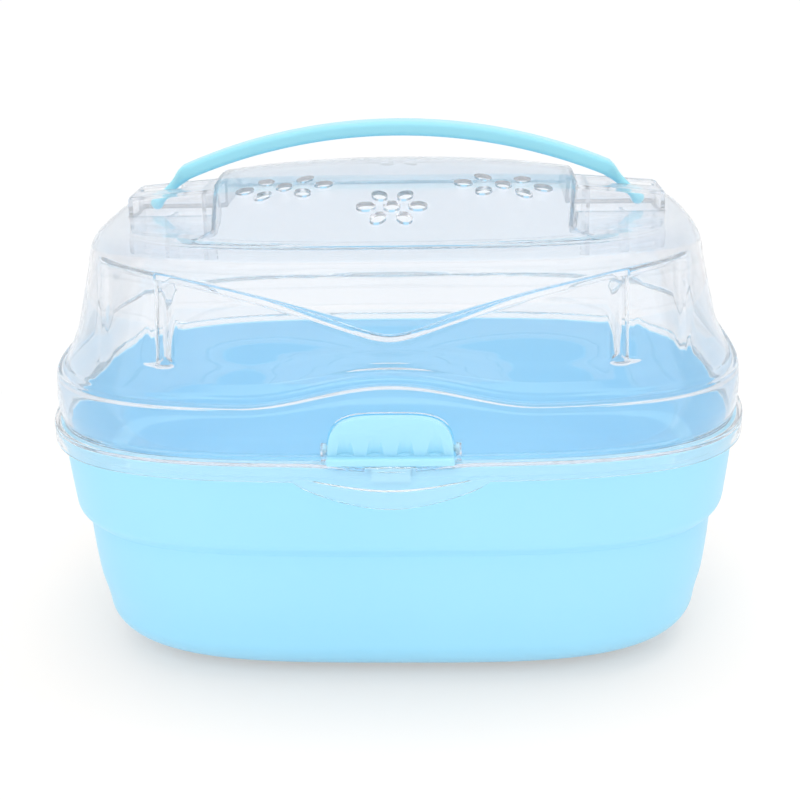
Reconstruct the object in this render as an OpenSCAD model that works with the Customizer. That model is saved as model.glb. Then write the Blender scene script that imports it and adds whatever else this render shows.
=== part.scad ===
// Small-pet carrier: a tub, a clear tiered lid on rear hooks, a bow handle and a rocking front latch.
// Millimetres. +Z is up, the front faces -Y, and the origin is the middle of the tub's underside.

/* [Rim] */
// Width over the lid's skirt
rim_w = 260; // [230:1:300]
// Depth over the lid's skirt
rim_d = 186; // [170:1:220]
// Squareness of the plan outline, where 2 is an ellipse
squareness = 3.5; // [3:0.1:4.5]

/* [Tub] */
// Height of the tub's rim above the ground
tub_h = 93.2; // [85:0.1:110]
// Thickness of the tub's wall and floor
tub_wall = 2; // [1.6:0.1:2.6]
// Height of the round between the floor and the wall
base_round = 20; // [12:0.5:28]
// How far the flat foot lies inside the skirt line
foot_in = 46; // [36:0.5:54]
// Inset of the wall where the round ends
low_in = 13.5; // [11:0.1:18]
// Height of the step round the tub
step_z = 57; // [45:0.5:65]
// How far the wall comes out over the step
step_w = 3.4; // [2:0.1:5]
// Inset of the wall under the rim
neck_in = 2.9; // [2.6:0.1:3.6]
// Height of the thick band at the rim
rim_band = 3.6; // [2.5:0.1:5]

/* [Lid] */
// Thickness of the clear wall
lid_wall = 1.6; // [1.2:0.1:2]
// Height of the skirt that drops over the tub's rim
skirt_h = 7; // [5.5:0.1:10]
// Gap between the skirt and the tub's rim
rim_gap = 0.4; // [0.3:0.05:0.8]
// Height of the ledge above the flange
ledge_z = 19; // [17.8:0.1:23]
// Rise of the ledge over the latch
wave_h = 7.6; // [4:0.1:9]
// Half width of that rise
wave_w = 52; // [40:1:70]
// Height of the shoulder that the towers stand on
shoulder_z = 68.5; // [66:0.1:76]
// Height of the crown between the towers
crown_z = 85.9; // [80:0.1:96]
// Half width of the crown
crown_w = 68; // [60:0.5:72]
// Half depth of the crown
crown_d = 62; // [52:0.5:66]
// How much lower the crown is at its ends
crown_bow = 4.4; // [2:0.1:6]

/* [Front window] */
// Height of the sill of the recessed window
sill_z = 31; // [29:0.5:36]
// Height of the lowest point of the vee over it
vee_z = 38.7; // [36:0.1:46]
// Depth of the recess in the middle
window_deep = 5; // [3:0.1:7]
// Depth of the recess over the corner panels
panel_deep = 1.5; // [0.8:0.1:2.5]
// Half width of the deep part
window_w = 79.6; // [60:0.1:84]
// Half width out to the ends of the corner panels
panel_w = 100.5; // [92:0.5:103]

/* [Vents] */
// Radius of a vent hole
vent_r = 2.7; // [1.5:0.1:3]
// Radius of the rings of vent holes
vent_ring = 9.4; // [8.6:0.1:11]

/* [Towers] */
// Width of a handle tower along X
tower_w = 34; // [28:0.5:36]
// Depth of a handle tower along Y
tower_d = 24; // [18:0.5:28]
// Height of the tower's outer end over the flange
tower_z = 75.6; // [73:0.1:82]
// How much higher the tower's inner end is
tower_rise = 2.8; // [0:0.1:4]
// Height of the foot of the socket walls under a tower, over the flange
socket_z = 55.8; // [50:0.1:60]
// Thickness of the socket walls and their rib
socket_t = 1.4; // [1:0.1:1.6]

/* [Handle] */
// Height of the top of the bow over the flange
bow_z = 101.8; // [98:0.1:115]
// Radius of the bow's middle line
bow_r = 208; // [180:1:240]
// Thickness of the bow
strap_t = 5.6; // [4:0.1:7]
// Width of the bow
strap_w = 12; // [9:0.5:16]
// Diameter of the ball at each end
ball_d = 5; // [4:0.1:5.6]
// Diameter of the neck above the ball
neck_d = 3.4; // [2.6:0.1:4]
// Free play between the ball and the tower's top
handle_play = 1; // [0.6:0.1:2]

/* [Latch] */
// Width of the latch pad
pad_w = 42.4; // [36:0.2:48]
// Height of the latch pad
pad_h = 16.4; // [14:0.2:17]
// Thickness of the latch pad
pad_t = 3; // [2.4:0.1:3.4]
// Gap round the pad in its arch
pad_gap = 0.5; // [0.3:0.05:0.8]
// Pitch of the finger flutes
flute_pitch = 10.1; // [8.5:0.1:12]
// How far the latch's grip stands out from the pad
grip_out = 3.2; // [2:0.1:4]
// Height of that grip
grip_h = 2.7; // [2:0.1:3.4]
// Diameter of the latch's pivot pins
pivot_d = 2.4; // [2:0.1:3]
// Half width of the bulge in the skirt for the latch's claw
nose_w = 33; // [30:0.5:38]
// How far the bulge stands out
nose_out = 5; // [4.6:0.1:6.5]
// How far the finger lip hangs below the skirt
lip_drop = 7; // [4:0.1:10]

/* [Rear hinge] */
// Diameter of the hinge pins
pin_d = 4; // [3:0.1:5]
// Distance of each hinge from the middle
hinge_x = 55; // [40:1:70]
// Width of a hook between its ears
hook_w = 13; // [9:0.5:18]
// Radial clearance of the hooks on the pins
pin_gap = 0.08; // [0.04:0.01:0.1]

/* [Hidden] */
columns = 72;
$fn = 48;
tub_color = [0.60, 0.88, 0.98];
lid_color = [0.90, 0.93, 1.00, 0.35];
handle_color = [0.50, 0.86, 0.93];
rest_gap = 0.2;
flange_z = tub_h + rest_gap + lid_wall;

// Plan outline at an inset from the skirt line; t is a direction in degrees.
function plan(inset, t) =
    let (c = cos(t), s = sin(t), n = squareness)
    let (r = pow(pow(abs(c), n) + pow(abs(s), n), -1 / n))
    [(rim_w / 2 - inset) * c * r, (rim_d / 2 - inset) * s * r];

// Front of that outline at a given x.
function front_y(x, inset) =
    let (share = min(abs(x) / (rim_w / 2 - inset), 0.999))
    -(rim_d / 2 - inset) * pow(1 - pow(share, squareness), 1 / squareness);

// The ledge rises in a wave over the latch.
function wave(x) = abs(x) < wave_w ? wave_h * (1 + cos(180 * x / wave_w)) / 2 : 0;

// Inner profile: each [inset, z, swell] row moved in by the wall, square to the profile.
function inward(rows, wall) = [
    for (i = [0 : len(rows) - 1])
        let (a = rows[max(i - 1, 0)], b = rows[min(i + 1, len(rows) - 1)])
        let (run = b[0] - a[0], rise = b[1] - a[1], len = norm([run, rise]))
        [rows[i][0] + wall * rise / len, rows[i][1] - wall * run / len, rows[i][2]]
];

// Solid through rings of [inset, z, share of the wave], from the bottom up.
module loft(rows) {
    n = columns;
    points = [
        for (row = rows) for (k = [0 : n - 1])
            let (p = plan(row[0], 360 * k / n))
            [p[0], p[1], row[1] + (p[1] < 0 ? row[2] * wave(p[0]) : 0)]
    ];
    sides = [
        for (i = [0 : len(rows) - 2]) for (k = [0 : n - 1])
            let (a = i * n + k, b = i * n + (k + 1) % n)
            each [[a, a + n, b + n], [a, b + n, b]]
    ];
    bottom = [for (k = [0 : n - 1]) k];
    top = [for (k = [n - 1 : -1 : 0]) (len(rows) - 1) * n + k];
    polyhedron(points, concat([bottom], sides, [top]));
}

// Closed solid between a front and a back grid of points with the same rows and columns.
module slab_between(front, back) {
    rows = len(front);
    cols = len(front[0]);
    half = rows * cols;
    points = concat([for (r = front) each r], [for (r = back) each r]);
    faces = [
        for (i = [0 : rows - 2]) for (k = [0 : cols - 2])
            let (a = i * cols + k)
            each [
                [a, a + cols, a + cols + 1], [a, a + cols + 1, a + 1],
                [half + a, half + a + cols + 1, half + a + cols], [half + a, half + a + 1, half + a + cols + 1]
            ]
    ];
    low = [
        for (k = [0 : cols - 2])
            let (up = (rows - 1) * cols + k)
            each [
                [k, k + 1, half + k + 1], [k, half + k + 1, half + k],
                [up, half + up, half + up + 1], [up, half + up + 1, up + 1]
            ]
    ];
    ends = [
        for (i = [0 : rows - 2])
            let (a = i * cols, b = i * cols + cols - 1)
            each [
                [a, half + a, half + a + cols], [a, half + a + cols, a + cols],
                [b, b + cols, half + b + cols], [b, half + b + cols, half + b]
            ]
    ];
    polyhedron(points, concat(faces, low, ends));
}

// ---------------------------------------------------------------- tub

function base_rows(inset, z, run, rise) = [
    for (a = [0, 20, 40, 60, 78, 90]) [inset - run * sin(a), z + rise * (1 - cos(a)), 0]
];

tub_rim_in = lid_wall + rim_gap;
tub_outside = concat(
    base_rows(foot_in, 0, foot_in - low_in, base_round),
    [
        [low_in - 2.2, base_round + 11, 0],
        [neck_in + step_w + 2.9, step_z - 2.6, 0],
        [neck_in + step_w + 2.1, step_z, 0],
        [neck_in + 3.1, step_z + 3.6, 0],
        [neck_in + 2.3, step_z + 5.2, 0],
        [neck_in, tub_h - rim_band - 1.6, 0],
        [neck_in, tub_h - rim_band - 0.5, 0],
        [tub_rim_in, tub_h - rim_band, 0],
        [tub_rim_in, tub_h - 0.6, 0],
        [tub_rim_in + 0.6, tub_h, 0]
    ]
);
tub_inside = concat(
    base_rows(foot_in + tub_wall / 2, tub_wall, foot_in - low_in - tub_wall / 2, base_round - tub_wall / 2),
    [
        [neck_in + step_w + 2.9 + tub_wall, step_z - 3, 0],
        [neck_in + 2.6 + tub_wall, step_z + 4.4, 0],
        [neck_in + tub_wall, tub_h - rim_band - 1.6, 0],
        [neck_in + tub_wall, tub_h + 1, 0]
    ]
);

hinge_y = rim_d / 2 + 3;
hinge_z = flange_z - skirt_h - 1;
ear_r = pin_d / 2 + 1.5;
ear_t = 3;
hook_r = pin_d / 2 + pin_gap + 1.9;
ear_gap = hook_w + 1;

// Cylinder along X, centred at x.
module rod(x, y, z, r, length) {
    translate([x - length / 2, y, z]) rotate([0, 90, 0]) cylinder(r = r, h = length);
}

module hinge_ears(x) {
    for (side = [-1, 1]) {
        ear_x = x + side * (ear_gap + ear_t) / 2;
        root = -front_y(abs(ear_x) + ear_t / 2, neck_in + tub_wall * 0.6);
        rod(ear_x, hinge_y, hinge_z, ear_r, ear_t);
        translate([ear_x - ear_t / 2, root, hinge_z - ear_r]) cube([ear_t, hinge_y - root, ear_r + 0.4]);
    }
    rod(x, hinge_y, hinge_z, pin_d / 2, ear_gap + ear_t);
}

module base_tub() {
    color(tub_color) union() {
        difference() {
            loft(tub_outside);
            loft(tub_inside);
        }
        for (side = [-1, 1]) hinge_ears(side * hinge_x);
    }
}

// ---------------------------------------------------------------- lid

tier_rows = [
    [3.8, flange_z, 0],
    [2.6, flange_z + 2, 0],
    [1.9, flange_z + 7, 0.1],
    [2, flange_z + 13, 0.5],
    [2.5, flange_z + ledge_z - 0.6, 1]
];
ledge_rows = [
    [3, flange_z + ledge_z, 1],
    [4.9, flange_z + ledge_z + 0.4, 1],
    [5.5, flange_z + ledge_z + 1.8, 1]
];
wall_rows = [
    [7.5, flange_z + ledge_z + 5.2, 0.7],
    [9.8, flange_z + ledge_z + 9.8, 0.3],
    [11.4, flange_z + ledge_z + 15, 0.05],
    [16.2, flange_z + shoulder_z - 13.2, 0],
    [17.2, flange_z + shoulder_z - 7.5, 0],
    [19, flange_z + shoulder_z - 4, 0],
    [22.6, flange_z + shoulder_z - 1.5, 0],
    [28.5, flange_z + shoulder_z - 0.3, 0],
    [52, flange_z + shoulder_z + 0.4, 0]
];
lid_outside = concat(
    [
        [0.5, flange_z - skirt_h, 0],
        [0, flange_z - skirt_h + 0.7, 0],
        [0, flange_z - 0.8, 0],
        [0.8, flange_z, 0]
    ],
    tier_rows, ledge_rows, wall_rows
);
tier_inside = inward(concat(tier_rows, [[5, flange_z + ledge_z + 0.8, 1]], wall_rows), lid_wall);
lid_inside = concat(
    [
        [lid_wall, flange_z - skirt_h - 1, 0],
        [lid_wall, flange_z - lid_wall, 0],
        [tier_inside[0][0], flange_z - lid_wall + 0.01, 0]
    ],
    [for (i = [1 : len(tier_inside) - 1]) tier_inside[i]]
);

// The vee over the window: rounded at the middle, flattening towards the corners.
function vee(x) =
    let (slope = 0.443, soft = 8, flatten = 0.00198)
    vee_z + slope * (norm([x, soft]) - soft) - flatten * x * x;

// Inset of the wall at a height over the flange, between the shoulder rows.
function wall_inset(z) = lookup(z, [for (row = wall_rows) [row[1] - flange_z, row[0]]]);

// Outline of the window, grown by the wall for the inside of the lid.
module window_prism(grow) {
    half = panel_w + grow;
    steps = 14;
    top = [for (i = [steps : -1 : -steps]) let (x = half * i / steps) [x, flange_z + vee(x) + grow]];
    outline = concat([[-half, flange_z + sill_z - grow], [half, flange_z + sill_z - grow]], top);
    translate([0, -crown_d / 2 - 8, 0]) rotate([90, 0, 0]) linear_extrude(rim_d / 2) polygon(outline);
}

// Recessed wall behind the window: deep in the middle, shallow over the corner panels.
module window_wall(grow) {
    edge = window_w - window_deep - 1;
    xs = concat(
        [-panel_w - 4, (-panel_w - window_w) / 2, -window_w, -edge],
        [for (i = [-4 : 4]) (edge - 8) * i / 4],
        [edge, window_w, (panel_w + window_w) / 2, panel_w + 4]
    );
    zs = [sill_z - 6, sill_z, sill_z + 8, shoulder_z - 13.2, shoulder_z - 7.5, shoulder_z - 4.5 - grow];
    function deep(x) = abs(x) > edge + 1 ? panel_deep : window_deep;
    front = [for (z = zs) [for (x = xs) [x, front_y(x, wall_inset(z) + deep(x) + grow), flange_z + z]]];
    back = [for (z = zs) [for (x = xs) [x, -crown_d / 2, flange_z + z]]];
    slab_between(front, back);
}

// Crown between the towers, highest a little behind the middle.
function crown_top(x, y) =
    let (peak = 5, fall = 17, reach = crown_d + (y < peak ? peak : -peak))
    flange_z + crown_z - crown_bow * pow(abs(x) / crown_w, 2.3) - fall * pow(abs(y - peak) / reach, 1.85);

module crown(grow) {
    half_x = crown_w - grow;
    half_y = crown_d - grow;
    xs = [for (i = [-5 : 5]) half_x * i / 5];
    ys = [for (i = [-6 : 6]) half_y * sin(15 * i)];
    top = [for (y = ys) [for (x = xs) [x, y, crown_top(x, y) - grow]]];
    low = [for (y = ys) [for (x = xs) [x, y, flange_z + shoulder_z - 8]]];
    slab_between(top, low);
}

tower_in = crown_w - 1;
tower_out = tower_in + tower_w;

function tower_top(x) = flange_z + tower_z + tower_rise * (tower_out - x) / tower_w;

module tower(grow) {
    inner = tower_in - 3;
    outer = tower_out - grow;
    low = flange_z + shoulder_z - 9;
    outline = [[inner, low], [outer, low], [outer, tower_top(outer) - grow], [inner, tower_top(inner) - grow]];
    translate([0, tower_d / 2 - grow, 0]) rotate([90, 0, 0]) linear_extrude(tower_d - 2 * grow) polygon(outline);
}

// Walls that run down under a tower and close its inner end, with a rib across below the ball.
module socket() {
    inner = tower_in + 4.4;
    outer = tower_out - 0.1;
    half = tower_d / 2 - 0.1;
    low = flange_z + socket_z;
    under = flange_z + shoulder_z - 0.9;
    difference() {
        translate([inner, -half, low]) cube([outer - inner, 2 * half, under - low]);
        translate([inner + socket_t, socket_t - half, low - 1])
            cube([outer - inner - 2 * socket_t, 2 * (half - socket_t), under - low + 2]);
    }
    translate([inner, -half, low]) cube([socket_t, 2 * half, tower_top(inner) - low]);
    translate([tower_in + 19.2, -half, low]) cube([socket_t, 2 * half, under - 2 - low]);
}

// Bulge in the skirt in front of the latch, running down into the finger lip.
function nose(x, half) = abs(x) < half ? nose_out * pow(cos(90 * x / half), 2) : 0;
function lip(x, half) = abs(x) < half ? lip_drop * pow(cos(90 * x / half), 0.6) : 0;

module nose_solid(grow) {
    half = nose_w;
    flare = 2;
    skirt_low = flange_z - skirt_h;
    xs = [for (i = [-7 : 7]) (half - grow) * i / 7];
    function face(x, out) = front_y(x, 0) - nose(x, half) - out * lip(x, half) / lip_drop + grow;
    down = grow > 0 ? 12 : 0;
    front = [
        [for (x = xs) [x, face(x, flare * (1 + down / lip_drop)), skirt_low - lip(x, half) - down]],
        [for (x = xs) [x, face(x, 0), skirt_low]],
        [for (x = xs) [x, face(x, 0), flange_z - (grow > 0 ? grow : 0.8)]],
        [for (x = xs) [x, face(x, 0) + (grow > 0 ? 0.2 : 0.8), flange_z - grow]]
    ];
    back = [for (row = front) [for (p = row) [p[0], front_y(p[0], 2 * lid_wall - 0.8 + grow), p[2]]]];
    slab_between(front, back);
}

// Arch for the latch pad: straight sides under a round-cornered top.
module arch_2d(width, height) {
    round = height * 0.62;
    translate([-width / 2, 0]) square([width, height - round]);
    translate([round - width / 2, height - round]) square([width - 2 * round, round]);
    intersection() {
        for (side = [-1, 1]) translate([side * (width / 2 - round), height - round]) circle(r = round);
        translate([-width / 2, 0]) square([width, height]);
    }
}

module front_prism(y, depth) {
    translate([0, y, 0]) rotate([90, 0, 0]) linear_extrude(depth) children();
}

pivot_y = -rim_d / 2 + 2.6 + lid_wall + pivot_d / 2 + 0.3;
lug_r = pivot_d / 2 + 1.1;
lug_t = 2.6;
boss_r = pivot_d;
boss_t = pivot_d + 0.8;
pivot_z = flange_z + 3.4;
pad_low = flange_z + 0.3;
claw_w = 15;
claw_back = rim_d / 2 - tub_rim_in + 0.25;
claw_t = 1.8;

module latch_lugs() {
    for (side = [-1, 1]) {
        x = side * (pad_w / 2 + pad_gap + 0.5 + lug_t / 2);
        rod(x, pivot_y, pivot_z, lug_r, lug_t);
        translate([x - lug_t / 2, pivot_y - lug_r, flange_z - lid_wall])
            cube([lug_t, 2 * lug_r, pivot_z - flange_z + lid_wall]);
    }
}

module vent_cluster(x, y, wide, deep) {
    translate([x, y, 0]) {
        cylinder(r = vent_r * 1.15, h = 4 * crown_z, $fn = 14);
        for (a = [30 : 60 : 330])
            translate([wide * cos(a), deep * sin(a), 0]) cylinder(r = vent_r, h = 4 * crown_z, $fn = 14);
    }
}

slot_in = tower_out - 18;
slot_out = tower_out - 5;
slot_w = neck_d + 1.2;

// Keyhole for one handle end, and the window in the tower's outer wall.
module keyhole() {
    above = flange_z + tower_z - lid_wall - 1;
    translate([slot_in, 0, above]) cylinder(d = ball_d + 1, h = 20);
    translate([slot_in, -slot_w / 2, above]) cube([slot_out - slot_in, slot_w, 20]);
    translate([slot_out, 0, above]) cylinder(d = slot_w, h = 20);
    translate([tower_out - 3, -1.6, flange_z + tower_z - 7.5]) cube([6, 3.2, 5.2]);
}

module hinge_hook(x) {
    translate([x - hook_w / 2, hinge_y, hinge_z]) rotate([90, 0, 90]) rotate([0, 0, -60])
        rotate_extrude(angle = 215) translate([pin_d / 2 + pin_gap, 0]) square([hook_r - pin_d / 2 - pin_gap, hook_w]);
    root = -front_y(abs(x) - hook_w / 2, lid_wall) + 0.15;
    low = pin_d / 2 + pin_gap + 0.2;
    translate([x - hook_w / 2, root, hinge_z + low]) cube([hook_w, hinge_y - 1.2 - root, hook_r - 0.3 - low]);
}

// The clear wall as one piece, held to the named width.
module lid_shell() {
    resize([rim_w, 0, 0]) union() {
        difference() {
            union() {
                difference() {
                    loft(lid_outside);
                    window_prism(0);
                }
                window_wall(0);
                crown(0);
                tower(0);
                mirror([1, 0, 0]) tower(0);
                nose_solid(0);
            }
            difference() {
                loft(lid_inside);
                window_prism(lid_wall);
            }
            window_wall(lid_wall);
            crown(lid_wall);
            tower(lid_wall);
            mirror([1, 0, 0]) tower(lid_wall);
            nose_solid(lid_wall);
            latch_opening();
            vents();
            keyhole();
            mirror([1, 0, 0]) keyhole();
        }
        intersection() {
            union() {
                socket();
                mirror([1, 0, 0]) socket();
            }
            union() {
                loft(lid_outside);
                tower(lid_wall / 2);
                mirror([1, 0, 0]) tower(lid_wall / 2);
            }
        }
    }
}

module latch_opening() {
    front_prism(-rim_d / 2 + 8, 16) translate([0, flange_z]) arch_2d(pad_w + 2 * pad_gap, pad_h + pad_gap + 0.3);
    translate([-claw_w / 2 - 1, -rim_d / 2 - nose_out + 2.2, flange_z - 6]) cube([claw_w + 2, 6.2, 8]);
}

module vents() {
    vent_cluster(0, -36, vent_ring, vent_ring);
    vent_cluster(0, 30, vent_ring, vent_ring);
    for (side = [-1, 1]) vent_cluster(39 * side, -11, vent_ring * 1.45, vent_ring * 0.88);
}

module clear_lid() {
    color(lid_color) union() {
        lid_shell();
        difference() {
            latch_lugs();
            rod(0, pivot_y, pivot_z, pivot_d / 2 + 0.08, rim_w);
        }
        for (side = [-1, 1]) hinge_hook(side * hinge_x);
    }
}

// ---------------------------------------------------------------- handle

bow_mid_z = flange_z + bow_z - strap_t / 2 - bow_r;
strap_end_x = tower_in + 13;
strap_angle = asin(strap_end_x / bow_r);
strap_end_z = bow_mid_z + bow_r * cos(strap_angle);
ball_x = tower_out - 9;
ball_z = tower_top(ball_x) - lid_wall - handle_play - ball_d / 2;

module strap_section() {
    edge = 2;
    for (y = [-1, 1]) for (x = [-1, 1])
        translate([bow_r + x * (strap_t / 2 - edge), y * (strap_w / 2 - edge)]) circle(r = edge);
    translate([bow_r - strap_t / 2, -strap_w / 2 + edge]) square([strap_t, strap_w - 2 * edge]);
    translate([bow_r - strap_t / 2 + edge, -strap_w / 2]) square([strap_t - 2 * edge, strap_w]);
}

module handle_end() {
    run = [ball_x - strap_end_x, ball_z - strap_end_z];
    tilt = atan2(run[0], run[1]);
    hull() {
        for (side = [-1, 1])
            translate([strap_end_x, side * (strap_w - strap_t) / 2, strap_end_z]) sphere(d = strap_t - 0.4, $fn = 16);
        translate([strap_end_x + run[0] * 0.36, 0, strap_end_z + run[1] * 0.36]) sphere(d = neck_d, $fn = 16);
    }
    translate([strap_end_x + run[0] * 0.3, 0, strap_end_z + run[1] * 0.3]) rotate([0, tilt, 0])
        cylinder(d = neck_d, h = norm(run) * 0.7);
    translate([ball_x, 0, ball_z]) sphere(d = ball_d);
}

module carry_handle() {
    color(handle_color) union() {
        translate([0, 0, bow_mid_z]) rotate([90, 0, 0]) rotate([0, 0, 90 - strap_angle])
            rotate_extrude(angle = 2 * strap_angle) strap_section();
        handle_end();
        mirror([1, 0, 0]) handle_end();
    }
}

// ---------------------------------------------------------------- latch

pad_front = rim_d / 2 + 0.4;

module flutes() {
    for (i = [-1.5 : 1 : 1.5])
        translate([i * flute_pitch, -pad_front - 2.6, flange_z + grip_h]) rotate([14, 0, 0]) cylinder(r = 3.6, h = pad_h);
}

module front_latch() {
    color(tub_color) union() {
        difference() {
            front_prism(-pad_front + pad_t, pad_t) translate([0, pad_low]) arch_2d(pad_w, pad_h);
            flutes();
        }
        translate([-pad_w / 2 - 1, -pad_front - grip_out, flange_z + 0.15])
            cube([pad_w + 2, grip_out + pad_t / 2, grip_h]);
        translate([-claw_w / 2, -claw_back - claw_t, flange_z - skirt_h - 0.6]) cube([claw_w, claw_t, skirt_h + 2]);
        rod(0, -claw_back - 0.6, flange_z - skirt_h + 0.7, 0.6, claw_w);
        for (side = [-1, 1]) {
            x = side * (pad_w - boss_t) / 2;
            rod(x, pivot_y, pivot_z, boss_r, boss_t);
            translate([x - boss_t / 2, -pad_front + 1, pivot_z - boss_r])
                cube([boss_t, pad_front - 1 + pivot_y, 2 * boss_r]);
            rod(side * (pad_w / 2 + 1.3), pivot_y, pivot_z, pivot_d / 2, lug_t + 1.8);
        }
    }
}

base_tub();
clear_lid();
carry_handle();
front_latch();
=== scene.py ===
# %% [markdown]
# # A small-pet carrier
# Four mouldings snap together here: a blue tub, a clear lid, a flexible bow handle and a rocking latch.
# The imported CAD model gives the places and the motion. This file gives each moulding its smooth skin,
# its round edges and its plastic. Lengths are in millimetres, and `MM` turns them into metres.

# %% Load the frame
from math import atan2, cos, pi, radians, sin, sqrt

import bmesh
import bpy
import numpy as np
from mathutils import Matrix, Vector


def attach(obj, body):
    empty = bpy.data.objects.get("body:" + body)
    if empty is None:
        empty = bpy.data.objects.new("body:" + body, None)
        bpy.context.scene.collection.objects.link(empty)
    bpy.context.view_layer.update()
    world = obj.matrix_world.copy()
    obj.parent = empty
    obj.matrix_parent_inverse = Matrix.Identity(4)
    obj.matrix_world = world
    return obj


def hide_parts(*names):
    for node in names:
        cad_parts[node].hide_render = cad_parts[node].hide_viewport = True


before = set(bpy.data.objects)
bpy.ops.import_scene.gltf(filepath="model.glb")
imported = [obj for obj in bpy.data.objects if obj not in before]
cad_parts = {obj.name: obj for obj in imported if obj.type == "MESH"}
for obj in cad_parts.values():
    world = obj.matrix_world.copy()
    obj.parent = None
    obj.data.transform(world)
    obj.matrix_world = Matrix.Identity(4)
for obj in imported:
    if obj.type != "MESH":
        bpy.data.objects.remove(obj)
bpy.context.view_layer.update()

MM = 0.001
scene = bpy.context.scene

# %% [markdown]
# ## The camera
# A long focal length from about half a metre gives the photograph's calm perspective. The camera could be
# aimed with a Track To constraint, but it is tilted sideways by one degree, so its axes are written out.

# %% Camera
FLANGE = 95.0  # height of the lid's flange, which the other heights of the lid are counted from
AZIMUTH, ELEVATION, ROLL = radians(2.16), radians(18.49), radians(1.10)
CAMERA_DISTANCE = 0.55  # metres from the middle of the flange
LENS, SENSOR = 61.89, 36
SHIFT_X, SHIFT_Y = 0.00075, -0.03025


def make_camera():
    """A camera that looks at the middle of the flange, turned, raised and tilted by the three angles."""
    back = Vector((sin(AZIMUTH) * cos(ELEVATION), -cos(AZIMUTH) * cos(ELEVATION), sin(ELEVATION)))
    right = Vector((cos(AZIMUTH), sin(AZIMUTH), 0))
    up = back.cross(right)
    tilted_right = right * cos(ROLL) - up * sin(ROLL)
    tilted_up = right * sin(ROLL) + up * cos(ROLL)
    axes = Matrix((tilted_right, tilted_up, back)).transposed().to_4x4()
    data = bpy.data.cameras.new("camera")
    data.lens = LENS
    data.sensor_width = SENSOR
    data.shift_x = SHIFT_X
    data.shift_y = SHIFT_Y
    data.clip_start = 0.01
    camera = bpy.data.objects.new("camera", data)
    camera.matrix_world = Matrix.Translation(back * CAMERA_DISTANCE + Vector((0, 0, FLANGE * MM))) @ axes
    scene.collection.objects.link(camera)
    scene.camera = camera
    return camera


camera = make_camera()
print("camera at, in metres:", [round(v, 3) for v in camera.matrix_world.translation])

# %% [markdown]
# ## Tools for smooth shells
# Each shell is a grid of points: a row runs round the object, and the rows follow its profile upwards. A
# Subdivision Surface would round it too, but it drifts from the sizes, so the profile is drawn as a curve
# through its marks and sampled finely.

# %% Curves and grids
TINY = 1e-9  # keeps a division by a length away from zero


def through(marks, steps):
    """Samples a smooth curve through the marks, with steps points from each mark to the next."""
    marks = np.array(marks, float)
    padded = np.vstack([2 * marks[0] - marks[1], marks, 2 * marks[-1] - marks[-2]])
    samples = []
    for a, b, c, d in zip(padded, padded[1:], padded[2:], padded[3:]):
        span = np.linalg.norm(c - b)
        slope_b = (c - a) / 2 * min(1, span / (np.linalg.norm(b - a) + TINY))
        slope_c = (d - b) / 2 * min(1, span / (np.linalg.norm(d - c) + TINY))
        for u in np.arange(steps) / steps:
            samples.append(
                (2 * u**3 - 3 * u**2 + 1) * b
                + (u**3 - 2 * u**2 + u) * slope_b
                + (3 * u**2 - 2 * u**3) * c
                + (u**3 - u**2) * slope_c
            )
    samples.append(marks[-1])
    return np.array(samples)


def object_from(name, points, faces):
    """Links a new object with the given faces on the given points, in mm."""
    mesh = bpy.data.meshes.new(name)
    mesh.from_pydata([[c * MM for c in p] for p in points], [], faces)
    piece = bpy.data.objects.new(name, mesh)
    scene.collection.objects.link(piece)
    return piece


def grid_mesh(name, grid, capped=False):
    """An object from a grid of points, shaped (rows, columns, 3), that closes round its columns.

    A capped grid is also closed over its first and last row."""
    rows, columns = grid.shape[:2]
    points = grid.reshape(-1, 3).tolist()
    faces = []
    for row in range(rows - 1):
        for column in range(columns):
            here = row * columns + column
            beside = row * columns + (column + 1) % columns
            faces.append((here, beside, beside + columns, here + columns))
    for row in (0, rows - 1) if capped else ():
        middle = len(points)
        points.append(grid[row].mean(axis=0).tolist())
        for column in range(columns):
            a, b = row * columns + column, row * columns + (column + 1) % columns
            faces.append((b, a, middle) if row == 0 else (a, b, middle))
    piece = object_from(name, points, faces)
    piece.data.validate()
    return piece


print("points of a curve through 3 marks:", len(through([(0, 0), (1, 1), (2, 0)], 4)))

# %% [markdown]
# ## Tools for edges and holes
# Bevel and Boolean modifiers round edges and drill holes. The Apply operator would fix their result, but it
# needs the right object to be selected. Taking the evaluated mesh gives the same and needs no selection.

# %% Edges and holes
def smooth_by_angle(piece, degrees):
    """Shades the piece smooth, apart from edges that turn by more than the angle."""
    for polygon in piece.data.polygons:
        polygon.use_smooth = True
    piece.data.set_sharp_from_angle(angle=radians(degrees))


def apply_modifiers(piece):
    """Turns what the modifiers show into the piece's own mesh."""
    seen = piece.evaluated_get(bpy.context.evaluated_depsgraph_get())
    mesh = bpy.data.meshes.new_from_object(seen)
    piece.modifiers.clear()
    piece.data = mesh


def cut(piece, cutters):
    """Cuts the cutters' shapes out of the piece, then removes the cutters."""
    for cutter in cutters:
        hole = piece.modifiers.new("hole", "BOOLEAN")
        hole.operation = "DIFFERENCE"
        hole.solver = "EXACT"
        hole.object = cutter
        bpy.context.view_layer.update()
        apply_modifiers(piece)
        bpy.data.objects.remove(cutter)


def bevel(piece, width, segments, degrees=35):
    """Rounds the edges that turn by more than the angle."""
    edge = piece.modifiers.new("edge", "BEVEL")
    edge.width = width * MM
    edge.segments = segments
    edge.limit_method = "ANGLE"
    edge.angle_limit = radians(degrees)
    apply_modifiers(piece)


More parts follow.
